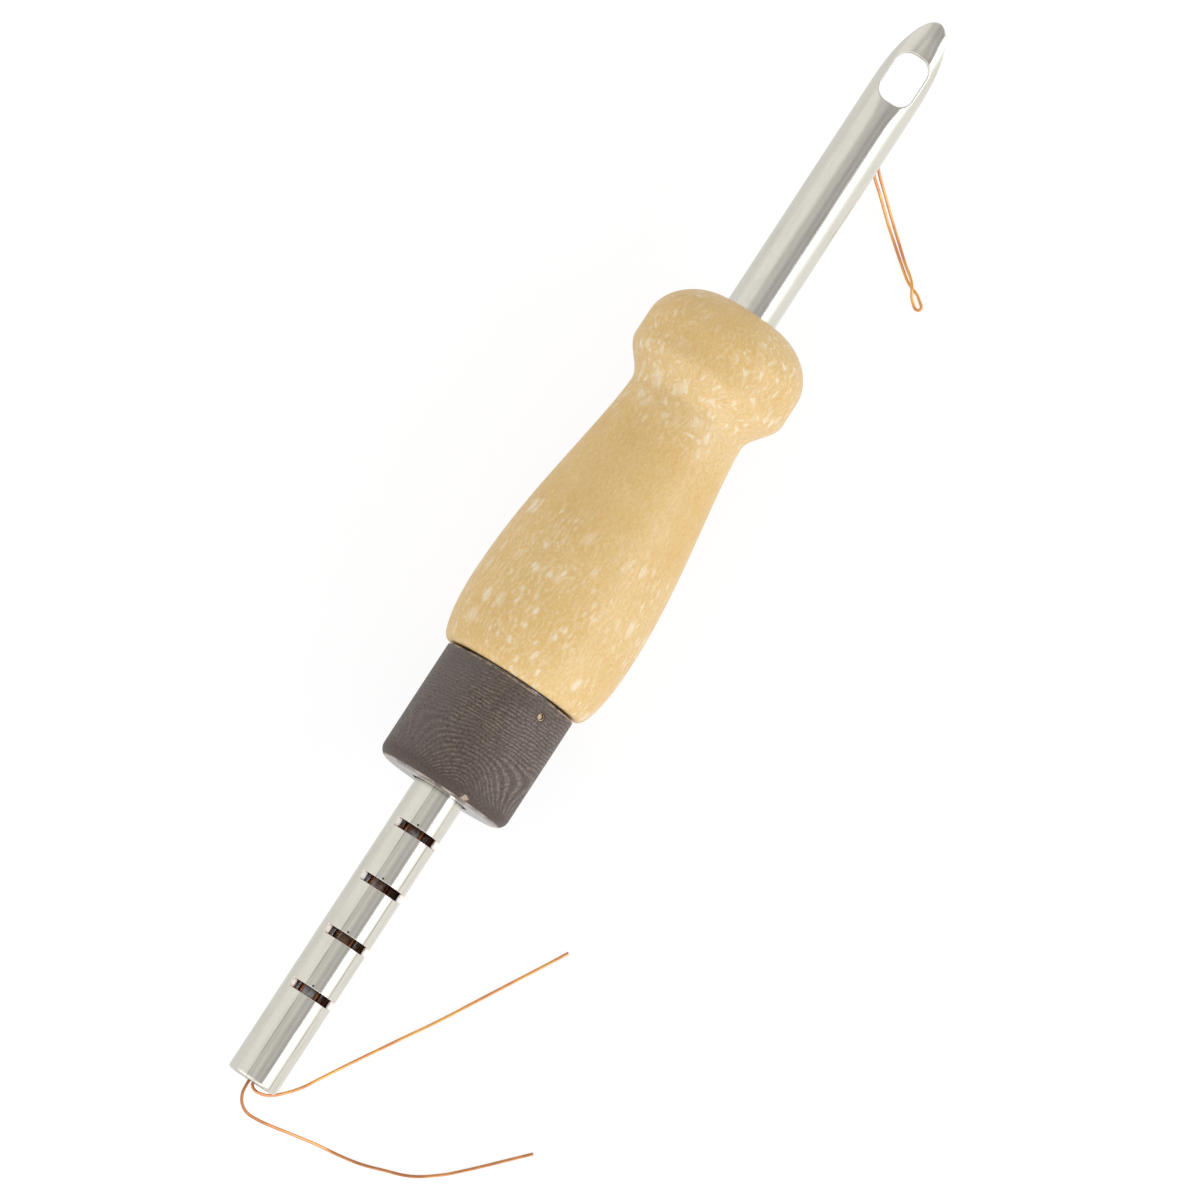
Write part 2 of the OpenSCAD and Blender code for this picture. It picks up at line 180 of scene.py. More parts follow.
# %% [markdown]
# Inside the tube the two strands lie on the floor of the bore. They are close together in the tail's mouth
# and part over the first 12 mm. They show through the saw cuts as copper glints, so they are made too.

# %% Strands inside the tube
STRAND_GAP, MOUTH_GAP, SEAT_GAP = 2.1, 0.6, 0.02
PART_LENGTH = 12
STEPS = 8

def strand_route(side):
    route = []
    for i in range(STEPS + 1):
        y = side * (MOUTH_GAP + (STRAND_GAP - MOUTH_GAP) * (1 - math.cos(math.pi * i / STEPS)) / 2) / 2
        drop = math.sqrt((BORE_R - WIRE_D / 2 - SEAT_GAP) ** 2 - y ** 2)
        route.append((tail_x + PART_LENGTH * i / STEPS, y, axis_mm - drop))
    return route + [(heel_x - 1, y, axis_mm - drop), (heel_x, y, axis_mm - drop)]

strands = wire("threader_strand_wires", strand_route(-1), strand_route(1))
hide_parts("threader_strands")
print("wires made:", [w.name for w in (loop, tail_long, tail_short, strands)])

# %% [markdown]
# ## Machined pieces
# The steel tube has a long bevel, an eye with soft, polished edges and five saw cuts. Cutting a cylinder
# with Boolean modifiers would leave sharp edges and sliver faces that shade badly on bright steel. Here each
# machined piece is a depth field instead: a function that says how far a point lies outside the metal. Where
# two fields are joined, the edge gets a true small radius, as deburring gives it. The surface, where the
# depth is zero, becomes a mesh: each grid cell that it passes through gets one corner, moved exactly onto
# it, with the field's own direction as its normal. So even a coarse grid shades like polished metal.

# %% Depth fields with rounded edges
def round_join(a, b, radius):
    """What both fields keep, with the edge between them rounded."""
    corner = np.hypot(np.maximum(a + radius, 0), np.maximum(b + radius, 0))
    return np.minimum(-radius, np.maximum(a, b)) + corner

def ruler(low, high, step, *spots):
    """Grid lines from low to high, step apart, and finer at each spot (from, to, finer step)."""
    marks = [low]
    while marks[-1] < high:
        here = marks[-1]
        here_step = min([fine for start, end, fine in spots if start <= here < end] + [step])
        ahead = min([start - here for start, end, fine in spots if start > here + 1e-6] + [here_step])
        marks.append(here + min(here_step, ahead))
    return np.array(marks)

CORNERS = np.array([(i, j, k) for i in (0, 1) for j in (0, 1) for k in (0, 1)])
EDGES = np.array([(a, b) for a in range(8) for b in range(a, 8) if abs(CORNERS[a] - CORNERS[b]).sum() == 1])

def slope(field, points, reach=0.004):
    """The direction in which the depth grows fastest, which is straight out of the metal."""
    steps = [(field(points + reach * d) - field(points - reach * d)) for d in np.eye(3)]
    direction = np.stack(steps, -1)
    return direction / np.maximum(np.linalg.norm(direction, axis=-1, keepdims=True), 1e-12)

EDGE_SLACK = 0.07

def drawn_to_edge(points, met, crossed, a, b, inset, reach=0.6):
    """Moves the points whose cell meets both surface a and surface b onto the knife edge between them."""
    depth_a, depth_b = a(met), b(met)
    on_a = (crossed & (depth_a > depth_b) & (depth_a > -EDGE_SLACK)).any(1)
    on_b = (crossed & (depth_b > depth_a) & (depth_b > -EDGE_SLACK)).any(1)
    moved = points
    for _ in range(4):
        slope_a, slope_b = slope(a, moved), slope(b, moved)
        off_a, off_b = a(moved) + inset, b(moved) + inset
        shared = (slope_a * slope_b).sum(-1)
        rest = np.maximum(1 - shared ** 2, 0.01)
        step_a, step_b = (shared * off_b - off_a) / rest, (shared * off_a - off_b) / rest
        moved = moved + step_a[:, None] * slope_a + step_b[:, None] * slope_b
    near = np.linalg.norm(moved - points, axis=1) < reach
    return np.where((on_a & on_b & near)[:, None], moved, points)

def surface_of(field, xs, ys, zs, knife_edges=()):
    """Points, normals and four-sided faces of the surface where the field is zero."""
    grid = np.stack(np.meshgrid(xs, ys, zs, indexing="ij"), -1)
    depth = field(grid)
    inside = depth < 0
    nx, ny, nz = (n - 1 for n in depth.shape)
    filled = sum(inside[i:nx + i, j:ny + j, k:nz + k].astype(int) for i, j, k in CORNERS)
    cells = np.argwhere((filled > 0) & (filled < 8))
    number = np.full(filled.shape, -1)
    number[tuple(cells.T)] = np.arange(len(cells))

    at = tuple(np.moveaxis(cells[:, None] + CORNERS, -1, 0))
    value, place = depth[at], grid[at]
    a, b = EDGES.T
    crossed = (value[:, a] < 0) != (value[:, b] < 0)
    share = value[:, a] / np.where(crossed, value[:, a] - value[:, b], 1)
    met = place[:, a] + (share * crossed)[..., None] * (place[:, b] - place[:, a])
    points = (met * crossed[..., None]).sum(1) / crossed.sum(1)[:, None]
    for _ in range(2):
        points = points - slope(field, points) * field(points)[:, None]
    for knife_edge in knife_edges:
        points = drawn_to_edge(points, met, crossed, *knife_edge)

    faces = []
    for axis in range(3):
        solid, cell = np.moveaxis(inside, axis, 0), np.moveaxis(number, axis, 0)
        i, j, k = np.nonzero(solid[:-1, 1:-1, 1:-1] != solid[1:, 1:-1, 1:-1])
        loop_of = np.stack([cell[i, j, k], cell[i, j + 1, k], cell[i, j + 1, k + 1], cell[i, j, k + 1]], 1)
        outward = solid[i, j + 1, k + 1] != (axis == 1)
        faces.append(np.where(outward[:, None], loop_of, loop_of[:, ::-1]))
    return points, slope(field, points), np.concatenate(faces)

def machined(name, field, xs, ys, zs, place, knife_edges=()):
    """A mesh piece of a depth field in millimetres, put in its place by a matrix."""
    points, normals, faces = surface_of(field, xs, ys, zs, knife_edges)
    mesh = bpy.data.meshes.new(name)
    mesh.from_pydata((points * MM).tolist(), [], faces.tolist(), shade_flat=False)
    mesh.normals_split_custom_set_from_vertices(normals.tolist())
    mesh.transform(place)
    piece = bpy.data.objects.new(name, mesh)
    bpy.context.scene.collection.objects.link(piece)
    print(name, "has", len(mesh.polygons), "faces")
    return piece

on_axis = Matrix.Translation((0, 0, axis_z))

# %% [markdown]
# ## The needle tube
# A 7 mm stainless tube with a 0.75 mm wall. The tail's rim is rounded, the tip is cut off at a slant, the
# eye goes straight down through the wall above the bevel, and the saw cuts come in 21 degrees off the top.
# The eye has the widest rounding, because the yarn slides over its edge, and the tube dips a little at both
# of the eye's ends.

# %% Needle tube, depth
EYE_LENGTH, EYE_WIDTH, EYE_CORNER, EYE_SETBACK = 6.9, 4.6, 1.8, 5.15
DIP, DIP_REACH = 0.3, 1.3
NOTCH_PITCH, NOTCH_WIDTH, NOTCH_FLOOR, NOTCH_CORNER, NOTCH_SETBACK = 8, 1.2, 1.23, 0.2, 13.2
TAIL_EDGE, BORE_EDGE, BEVEL_EDGE, EYE_EDGE, NOTCH_EDGE = 0.5, 0.12, 0.09, 0.3, 0.08
NOTCH_TURN = math.radians(21)
notches = [tail_x + NOTCH_SETBACK + i * NOTCH_PITCH for i in range(5)]
eye_x = tip_x - EYE_SETBACK - EYE_LENGTH / 2
eye_ends = (eye_x - EYE_LENGTH / 2, eye_x + EYE_LENGTH / 2)
bevel_normal = np.array([2 * TUBE_R, 0, -(tip_x - heel_x)])
bevel_normal /= np.linalg.norm(bevel_normal)

def outside_depth(p):
    """Depth in the tube's outside, which dips a little towards both ends of the eye."""
    x, y, z = p[..., 0], p[..., 1], p[..., 2]
    dip = sum(np.exp(-((x - end) ** 2 + y ** 2) / (2 * DIP_REACH ** 2)) for end in eye_ends)
    return np.hypot(y, z) - TUBE_R + DIP * dip * np.clip(z / TUBE_R, 0, 1)

def bore_depth(p):
    return BORE_R - np.hypot(p[..., 1], p[..., 2])

def bevel_depth(p):
    return (p[..., 0] - heel_x) * bevel_normal[0] + (p[..., 2] + TUBE_R) * bevel_normal[2]

def slot_depth(past_length, past_width, corner):
    """Depth round a slot with rounded corners, from how far the point lies past each pair of sides."""
    a, b = past_length + corner, past_width + corner
    return np.hypot(np.maximum(a, 0), np.maximum(b, 0)) + np.minimum(np.maximum(a, b), 0)

def tube_depth(p):
    x, y, z = p[..., 0], p[..., 1], p[..., 2]
    metal = round_join(round_join(outside_depth(p), tail_x - x, TAIL_EDGE), bore_depth(p), BORE_EDGE)
    metal = round_join(metal, bevel_depth(p), BEVEL_EDGE)
    eye = slot_depth(np.abs(x - eye_x) - EYE_LENGTH / 2, np.abs(y) - EYE_WIDTH / 2, EYE_CORNER)
    metal = round_join(metal, EYE_CORNER - eye, EYE_EDGE)
    side = z * math.cos(NOTCH_TURN) - y * math.sin(NOTCH_TURN)
    for notch_x in notches:
        cut = slot_depth(np.abs(x - notch_x) - NOTCH_WIDTH / 2, NOTCH_FLOOR - side, NOTCH_CORNER)
        metal = round_join(metal, NOTCH_CORNER - cut, NOTCH_EDGE)
    return metal

print("saw cuts at", [round(n, 2) for n in notches], "and the eye at", round(eye_x, 2))

# %% [markdown]
# The grid is coarse along the plain tube and fine where something was cut. The bevel's rim is as thin as a
# knife, so the mesh's corners near it are drawn onto the edge itself. Without that, its outline would be a
# row of small teeth. The steps keep the mesh under 100,000 faces.

# %% Needle tube, mesh
PAST, BESIDE = 0.3, 0.2
PLAIN_STEP, TAIL_STEP, BEVEL_STEP, EYE_STEP, NOTCH_STEP = 2.2, 0.12, 0.125, 0.08, 0.055
EYE_FROM, EYE_TO, NOTCH_REACH = 3.1, 4.6, 0.16
ROUND_STEP, SIDE_STEP, TOP_STEP = 0.145, 0.065, 0.06
SIDE_FROM, SIDE_TO, TOP_FROM = 2.0, 2.6, 2.4

tube_xs = ruler(tail_x - PAST, tip_x + PAST, PLAIN_STEP,
                (tail_x - PAST, tail_x + 1.0, TAIL_STEP), (heel_x - 0.6, tip_x + PAST, BEVEL_STEP),
                (eye_x - EYE_TO, eye_x - EYE_FROM, EYE_STEP), (eye_x + EYE_FROM, eye_x + EYE_TO, EYE_STEP),
                *[(n + wall - NOTCH_REACH, n + wall + NOTCH_REACH, NOTCH_STEP)
                  for n in notches for wall in (-NOTCH_WIDTH / 2, NOTCH_WIDTH / 2)])
tube_ys = ruler(-TUBE_R - BESIDE, TUBE_R + BESIDE, ROUND_STEP, (-SIDE_TO, -SIDE_FROM, SIDE_STEP),
                (SIDE_FROM, SIDE_TO, SIDE_STEP))
tube_zs = ruler(-TUBE_R - BESIDE, TUBE_R + BESIDE, ROUND_STEP, (TOP_FROM, TUBE_R + 0.1, TOP_STEP))
knife_inset = BEVEL_EDGE * (1 - math.sqrt(0.5))
tube = machined("needle_tube_steel", tube_depth, tube_xs, tube_ys, tube_zs, on_axis,
                [(outside_depth, bevel_depth, knife_inset), (bore_depth, bevel_depth, knife_inset)])
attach(tube, "needle")
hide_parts("needle_tube")

# %% [markdown]
# ## The collar
# The dark collar is a turned cap with a wall 2.3 mm thick. Its rear edge has a wide radius and its front
# edge only a small one. The tube leaves it through a hole with a little air round it, and a roll pin is
# pressed into its side near the front.

# %% Collar
COLLAR_R, COLLAR_BORE_R, END_HOLE_R, END_WALL = 9.3, 7.0, 3.7, 1.4
REAR_EDGE, FRONT_EDGE, CAVITY_EDGE, HOLE_EDGE, PIN_HOLE_EDGE = 1.6, 0.2, 0.15, 0.2, 0.05
PIN_R, PIN_BORE_R, PIN_SETBACK, PIN_GAP = 0.55, 0.37, 2.15, 0.02
PIN_TURN = math.radians(36.5)
pin_x = rim_x - PIN_SETBACK
pin_y, pin_z = -COLLAR_R * math.sin(PIN_TURN), COLLAR_R * math.cos(PIN_TURN)

def collar_depth(p):
    x, y, z = p[..., 0], p[..., 1], p[..., 2]
    r = np.hypot(y, z)
    solid = round_join(round_join(r - COLLAR_R, collar_x - x, REAR_EDGE), x - rim_x, FRONT_EDGE)
    cavity = np.maximum(r - COLLAR_BORE_R, collar_x + END_WALL - x)
    solid = round_join(solid, -cavity, CAVITY_EDGE)
    solid = round_join(solid, END_HOLE_R - r, HOLE_EDGE)
    across_pin = y * math.cos(PIN_TURN) + z * math.sin(PIN_TURN)
    along_pin = z * math.cos(PIN_TURN) - y * math.sin(PIN_TURN)
    pin_hole = np.maximum(np.hypot(x - pin_x, across_pin) - PIN_R - PIN_GAP, -along_pin)
    return round_join(solid, -pin_hole, PIN_HOLE_EDGE)

COLLAR_STEP, BARREL_STEP, END_STEP, FINE_STEP, PIN_REACH = 0.4, 0.21, 0.15, 0.08, 0.8
collar_xs = ruler(collar_x - PAST, rim_x + PAST, COLLAR_STEP,
                  (collar_x - PAST, collar_x + 2, END_STEP),
                  (pin_x - PIN_REACH, pin_x + PIN_REACH, FINE_STEP),
                  (rim_x - 0.6, rim_x + PAST, FINE_STEP))
barrel = COLLAR_R + PAST
collar_ys, collar_zs = (ruler(-barrel, barrel, BARREL_STEP, (at - PIN_REACH, at + PIN_REACH, FINE_STEP))
                        for at in (pin_y, pin_z))
collar = machined("lock_collar_cap", collar_depth, collar_xs, collar_ys, collar_zs, on_axis)
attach(collar, "collar")
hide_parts("lock_collar")

# %% [markdown]
# The roll pin is a strip of brass rolled into a tube, so its end shows a small hole with a slit at one side.
# It is drawn upright and then turned into the collar's side. The hollow is only cut where it shows.

# %% Roll pin
PIN_FOOT, PIN_HEAD, PIN_SLIT, PIN_HOLLOW = 6.07, 9.264, 0.11, 0.22
RIM_EDGE, HOLLOW_EDGE, SLIT_EDGE = 0.07, 0.05, 0.03
PAST_PIN, PIN_STEP, PIN_END_STEP = 0.1, 0.04, 0.03

def pin_depth(p):
    x, y, z = p[..., 0], p[..., 1], p[..., 2]
    r = np.hypot(x, y)
    ends = np.maximum(PIN_FOOT - z, z - PIN_HEAD)
    hollow = np.maximum(r - PIN_BORE_R, PIN_HEAD - PIN_HOLLOW - z)
    slit = np.maximum(np.maximum(np.abs(y) - PIN_SLIT / 2, -x), PIN_HEAD - PIN_HOLLOW - z)
    solid = round_join(r - PIN_R, ends, RIM_EDGE)
    return round_join(round_join(solid, -hollow, HOLLOW_EDGE), -slit, SLIT_EDGE)

pin_ys = ruler(-PIN_R - PAST_PIN, PIN_R + PAST_PIN, PIN_STEP)
pin_zs = ruler(PIN_FOOT - PAST_PIN, PIN_HEAD + PAST_PIN, 0.3, (PIN_FOOT - PAST_PIN, PIN_FOOT + 0.2, PIN_STEP),
               (PIN_HEAD - 0.4, PIN_HEAD + PAST_PIN, PIN_END_STEP))
pin_place = Matrix.Translation((pin_x * MM, 0, axis_z)) @ Matrix.Rotation(PIN_TURN, 4, "X")
pin = machined("collar_pin_brass", pin_depth, pin_ys, pin_ys, pin_zs, pin_place)
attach(pin, "collar")
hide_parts("collar_pin")

# %% [markdown]
# ## The grip
# The grip was turned on a lathe, so it is made the same way: half its outline, spun round the needle's
# axis. The outline follows four simple curves: the shoulder behind the belly, the long flank to the waist,
# the rise to the knob and the knob's nose. It then goes back through the bore, so the mesh is closed.

# %% Grip, outline
BELLY_R, REAR_R, WAIST_R, KNOB_R, LAND_R = 11.6, 9.5, 8.25, 11.05, 4.7
BELLY_AT, WAIST_AT, KNOB_RISE, KNOB_NOSE = 9.0, 40.4, 5.3, 6.2
SHOULDER_POWER, FLANK_POWER, NOSE_POWER = 0.41, 1.4, 1.2
SLEEVE_R, SLEEVE_DEPTH, FRONT_BORE_R, MOUTH_ROUND = 5.52, 23, 3.55, 0.2
GRIP_LENGTH = knob_front_x - grip_x
QUARTER = math.pi / 2

def shares(count, start=1):
    return [i / count for i in range(start, count + 1)]

def grip_outline():
    """Points (along the grip, radius), from the rear end over the outside and back through the bore."""
    line = [(0, SLEEVE_R)]
    for w in shares(28, 0):
        rise = math.sin(QUARTER * w * w) ** SHOULDER_POWER
        line.append((BELLY_AT * w * w, REAR_R + (BELLY_R - REAR_R) * rise))
    for w in shares(44):
        fall = max(math.cos(QUARTER * w), 0) ** FLANK_POWER
        line.append((BELLY_AT + (WAIST_AT - BELLY_AT) * w, WAIST_R + (BELLY_R - WAIST_R) * fall))
    for w in shares(30):
        rise = (1 - math.cos(math.pi * w)) / 2
        line.append((WAIST_AT + KNOB_RISE * w, WAIST_R + (KNOB_R - WAIST_R) * rise))
    for w in shares(40, 0):
        fall = max(math.cos(QUARTER * w), 0) ** NOSE_POWER
        line.append((GRIP_LENGTH - KNOB_NOSE + KNOB_NOSE * math.sin(QUARTER * w),
                     LAND_R + (KNOB_R - LAND_R) * fall))
    for w in shares(5, 0):
        line.append((GRIP_LENGTH - MOUTH_ROUND * (1 - math.cos(QUARTER * w)),
                     FRONT_BORE_R + MOUTH_ROUND * (1 - math.sin(QUARTER * w))))
    return line + [(SLEEVE_DEPTH, FRONT_BORE_R), (SLEEVE_DEPTH, SLEEVE_R)]

print("outline of", len(grip_outline()), "points")

# %% Grip, turned
AROUND = 256
SHARP_FROM = math.radians(40)

def lathed(name, outline, start_x):
    """A closed solid: the outline, spun round the needle's axis."""
    points, faces = [], []
    for x, r in outline:
        for k in range(AROUND):
            turn = 2 * math.pi * k / AROUND
            points.append(((start_x + x) * MM, r * math.sin(turn) * MM, axis_z + r * math.cos(turn) * MM))
    rows = len(outline)
    for i in range(rows):
        for k in range(AROUND):
            a, b = i * AROUND, (i + 1) % rows * AROUND
            m = (k + 1) % AROUND
            faces.append((a + k, a + m, b + m, b + k))
    mesh = bpy.data.meshes.new(name)
    mesh.from_pydata(points, [], faces, shade_flat=False)
    piece = bpy.data.objects.new(name, mesh)
    bpy.context.scene.collection.objects.link(piece)
    mesh.set_sharp_from_angle(angle=SHARP_FROM)
    print(name, "has", len(faces), "faces")
    return piece

grip = lathed("handle_grip_turned", grip_outline(), grip_x)
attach(grip, "grip")
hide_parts("handle_grip")

# %% [markdown]
# ## Helpers for materials
# Every material is worked out from the point's own place on the object, in millimetres, so it has the same
# scale everywhere and needs no unwrapping. One helper adds a node with its values or links, and the others
# stand for the sums that are needed most, so that a mask can be written as a formula. A mask is a number
# from 0 to 1 that says where a finish shows.

# %% Node helpers
def feed(tree, socket, value):
    """Links the socket to another node's output, or gives it a plain value."""
    if isinstance(value, bpy.types.NodeSocket):
        tree.links.new(value, socket)
    else:
        socket.default_value = value

def add(tree, kind, inputs=None, **settings):
    """A node of this kind, with its settings and inputs."""
    made = tree.nodes.new("ShaderNode" + kind)
    for key, value in settings.items():
        setattr(made, key, value)
    for key, value in (inputs or {}).items():
        feed(tree, made.inputs[key], value)
    return made

def place_in_mm(tree, stretch=(1, 1, 1)):
    """The point's place on the object, in millimetres, squeezed along each axis by stretch."""
    coordinates = add(tree, "TexCoord").outputs["Object"]
    scale = tuple(s / MM for s in stretch)
    return add(tree, "Mapping", {"Vector": coordinates, "Scale": scale}).outputs[0]

def noise(tree, where, scale, detail=3.0, rough=0.5, twist=0.0):
    return add(tree, "TexNoise", {"Vector": where, "Scale": scale, "Detail": detail, "Roughness": rough,
                                  "Distortion": twist}).outputs["Fac"]

def levels(tree, value, low, high, to_low=0.0, to_high=1.0):
    """Spreads the values from low to high over to_low to to_high, and clips the rest."""
    return add(tree, "MapRange", {"Value": value, "From Min": low, "From Max": high, "To Min": to_low,
                                  "To Max": to_high}, interpolation_type="SMOOTHSTEP").outputs[0]

def maths(tree, operation, a, b=0.5):
    return add(tree, "Math", {0: a, 1: b}, operation=operation).outputs[0]

def plus(tree, a, b):
    return maths(tree, "ADD", a, b)

def minus(tree, a, b):
    return maths(tree, "SUBTRACT", a, b)

def times(tree, *values):
    product = values[0]
    for value in values[1:]:
        product = maths(tree, "MULTIPLY", product, value)
    return product

def most(tree, a, b):
    return maths(tree, "MAXIMUM", a, b)

def blend(tree, share, a, b, mode="MIX"):
    """Colour a, or colour b where share is 1."""
    return add(tree, "Mix", {0: share, 6: a, 7: b}, data_type="RGBA", blend_type=mode).outputs[2]

def vector(tree, operation, a, b=(0, 0, 0)):
    return add(tree, "VectorMath", {0: a, 1: b}, operation=operation).outputs

def way(tree, start, end):
    """The way from start to end."""
    return vector(tree, "SUBTRACT", end, start)[0]

def length(tree, a):
    return vector(tree, "LENGTH", a)["Value"]

def bent(tree, where, size, reach, detail=2.0):
    """The place, moved by up to about reach mm by a noise of this size, so that straight patterns bend."""
    cloud = add(tree, "TexNoise", {"Vector": where, "Scale": 1 / size, "Detail": detail}).outputs["Color"]
    shift = way(tree, (0.5, 0.5, 0.5), cloud)
    return vector(tree, "ADD", where, vector(tree, "MULTIPLY", shift, (reach * 2,) * 3)[0])[0]

def along(tree, where, axis="X"):
    return add(tree, "SeparateXYZ", {0: where}).outputs[axis]

def past(tree, where, low, high):
    """0 at the place low along the tool and 1 at the place high."""
    return levels(tree, along(tree, where), low, high)

def soft_line(tree, value, at, half_width):
    """1 where the value is at this one, and 0 from half_width away."""
    return levels(tree, maths(tree, "ABSOLUTE", minus(tree, value, at)), half_width, half_width * 0.4)

def effect(name, inputs):
    """An empty node group with these inputs and one mask, and its own input and output nodes."""
    group = bpy.data.node_groups.new(name, "ShaderNodeTree")
    for key, value in inputs.items():
        kind = "NodeSocketVector" if key in ("Place", "From", "To") else "NodeSocketFloat"
        socket = group.interface.new_socket(name=key, in_out="INPUT", socket_type=kind)
        if value is not None:
            socket.default_value = value
    group.interface.new_socket(name="Mask", in_out="OUTPUT", socket_type="NodeSocketFloat")
    return group, group.nodes.new("NodeGroupInput").outputs, group.nodes.new("NodeGroupOutput").inputs

def use(tree, group, inputs):
    """Puts a shared effect in a material, with its own values, and gives its outputs."""
    return add(tree, "Group", inputs, node_tree=group).outputs

def material(name, roughness=0.5, **plain):
    """A material with a Principled BSDF, whose plain values are set on the shader itself."""
    made = bpy.data.materials.new(name)
    made.use_nodes = True
    tree = made.node_tree
    shader = tree.nodes["Principled BSDF"]
    shader.inputs["Roughness"].default_value = roughness
    for key, value in plain.items():
        shader.inputs[key.replace("_", " ")].default_value = value
    return made, tree, shader

# %% [markdown]
# Three effects are shared. "Soft patches" makes slow, cloudy changes, such as where a hand has polished a
# surface. "Drawn lines" makes the fine lines that drawing, turning or wiping leaves along a piece. "Scratch"
# is a single hairline from one place to another, which thins out towards its ends.

# %% Shared effects
patches, put, out = effect("soft_patches", {"Place": None, "Size in mm": 6.0, "Low": 0.35, "High": 0.65})
cloud = noise(patches, put["Place"], maths(patches, "DIVIDE", 1.0, put["Size in mm"]), 3.0, 0.55)
patches.links.new(levels(patches, cloud, put["Low"], put["High"]), out["Mask"])

lines, put, out = effect("drawn_lines", {"Place": None, "Lines per mm": 6.0, "Length in lines": 40.0})
squeeze = add(lines, "CombineXYZ", {
    "X": maths(lines, "DIVIDE", 1.0, put["Length in lines"]), "Y": 1.0, "Z": 1.0}).outputs[0]
drawn = vector(lines, "MULTIPLY", put["Place"], squeeze)[0]
lines.links.new(noise(lines, drawn, put["Lines per mm"], 2.0, 0.6), out["Mask"])

scratch, put, out = effect("scratch", {"Place": None, "From": (0, 0, 0), "To": (1, 0, 0), "Width in mm": 0.1})
run = way(scratch, put["From"], put["To"])
reached = way(scratch, put["From"], put["Place"])
share = maths(scratch, "DIVIDE", vector(scratch, "DOT_PRODUCT", reached, run)["Value"],
              vector(scratch, "DOT_PRODUCT", run, run)["Value"])
nearest = add(scratch, "VectorMath", {0: run, "Scale": share}, operation="SCALE").outputs[0]
beside = length(scratch, way(scratch, nearest, reached))
taper = levels(scratch, maths(scratch, "ABSOLUTE", minus(scratch, share, 0.5)), 0.5, 0.25)
near = levels(scratch, maths(scratch, "DIVIDE", beside, put["Width in mm"]), 0.6, 0.2)
scratch.links.new(times(scratch, near, taper), out["Mask"])

def cloudy(tree, where, size, low=0.35, high=0.65):
    """Soft patches of this size in mm. The further apart low and high are, the softer they are."""
    return use(tree, patches, {"Place": where, "Size in mm": size, "Low": low, "High": high})["Mask"]

def drawn_lines(tree, where, per_mm, in_lines):
    return use(tree, lines, {"Place": where, "Lines per mm": per_mm, "Length in lines": in_lines})["Mask"]

def finished(tree, shader, colour, rough, relief, strength, depth):
    """Gives the shader its colour, its roughness and a relief of this depth in metres."""
    bump = add(tree, "Bump", {"Height": relief, "Strength": strength, "Distance": depth}).outputs[0]
    for key, value in (("Base Color", colour), ("Roughness", rough), ("Normal", bump)):
        tree.links.new(value, shader.inputs[key])

print("shared effects:", patches.name, lines.name, scratch.name)

# %% [markdown]
# ## Steel
# The tube is drawn and polished stainless steel, and its look comes nearly all from what it reflects. The
# material only adds very fine drawn lines along the tube, cloudy changes in its polish and a trace of warm
# stain. The bore was never polished, so it is rougher and has rust, and its darker grey is painted shade
# inside the tube.

# %% Steel, outside and bore
def dressed(piece, finish):
    piece.data.materials.clear()
    piece.data.materials.append(finish)
    print(piece.name, "wears", finish.name)

def from_axis(tree, where):
    """How far the point is from the needle's axis."""
    return length(tree, vector(tree, "MULTIPLY", way(tree, (0, 0, axis_mm), where), (0, 1, 1))[0])

POLISHED, STAINED = (0.735, 0.71, 0.635, 1), (0.67, 0.645, 0.565, 1)
BORE_SHADE_GREY, BORE_RUST = (0.47, 0.47, 0.47, 1), (0.25, 0.13, 0.08, 1)

steel, tree, shader = material("polished_steel", Metallic=1.0)
where = place_in_mm(tree)
drawn_mask = drawn_lines(tree, where, 5.0, 60.0)
clouds = cloudy(tree, where, 5.0)
stain = levels(tree, noise(tree, place_in_mm(tree, (0.15, 1, 1)), 0.9, 5.0, 0.65), 0.45, 0.75)
colour = blend(tree, stain, POLISHED, STAINED)
bore = levels(tree, from_axis(tree, where), BORE_R + 0.35, BORE_R + 0.15)
rust = cloudy(tree, where, 1.6, 0.42, 0.6)
# Painted shade: the bore is a darker grey than the outside, for the shade inside the tube. The rust patches
# are real.
colour = blend(tree, bore, colour, blend(tree, rust, BORE_SHADE_GREY, BORE_RUST))

# %% [markdown]
# A small pit marks each saw cut, on top of the tube. It is not modelled: a dark dot of painted shade stands
# for it. The cuts' own walls and floors are as the saw left them, matt, and their pale, pinkish colour is
# painted light. All of it repeats with the cuts, so the distance to the nearest cut draws it on them all, and
# two limits along the tube keep it off the rest.

# %% Steel, painted pit shade and saw cuts
PIT_SHIFT, PIT_R, PIT_SOLID_R = 0.9, 0.19, 0.11
PIT_SHADE, SAWN_AND_LIT = (0.10, 0.09, 0.08, 1), (0.86, 0.79, 0.73, 1)

def repeated(tree, where, first):
    """How far it is, along the tube, to the nearest of the places that repeat with the saw cuts."""
    return maths(tree, "PINGPONG", minus(tree, along(tree, where), first), NOTCH_PITCH / 2)

from_pit = length(tree, add(tree, "CombineXYZ", {
    "X": repeated(tree, where, notches[0] + PIT_SHIFT), "Y": along(tree, where, "Y"),
    "Z": minus(tree, along(tree, where, "Z"), axis_mm + TUBE_R)}).outputs[0])
# Painted shade: a dark dot beside each saw cut stands for the shade in a small pit.
pit_shade = times(tree, levels(tree, from_pit, PIT_R, PIT_SOLID_R),
            past(tree, where, notches[0], notches[0] + 0.1), past(tree, where, collar_x + 3, collar_x + 2))
colour = blend(tree, pit_shade, colour, PIT_SHADE)

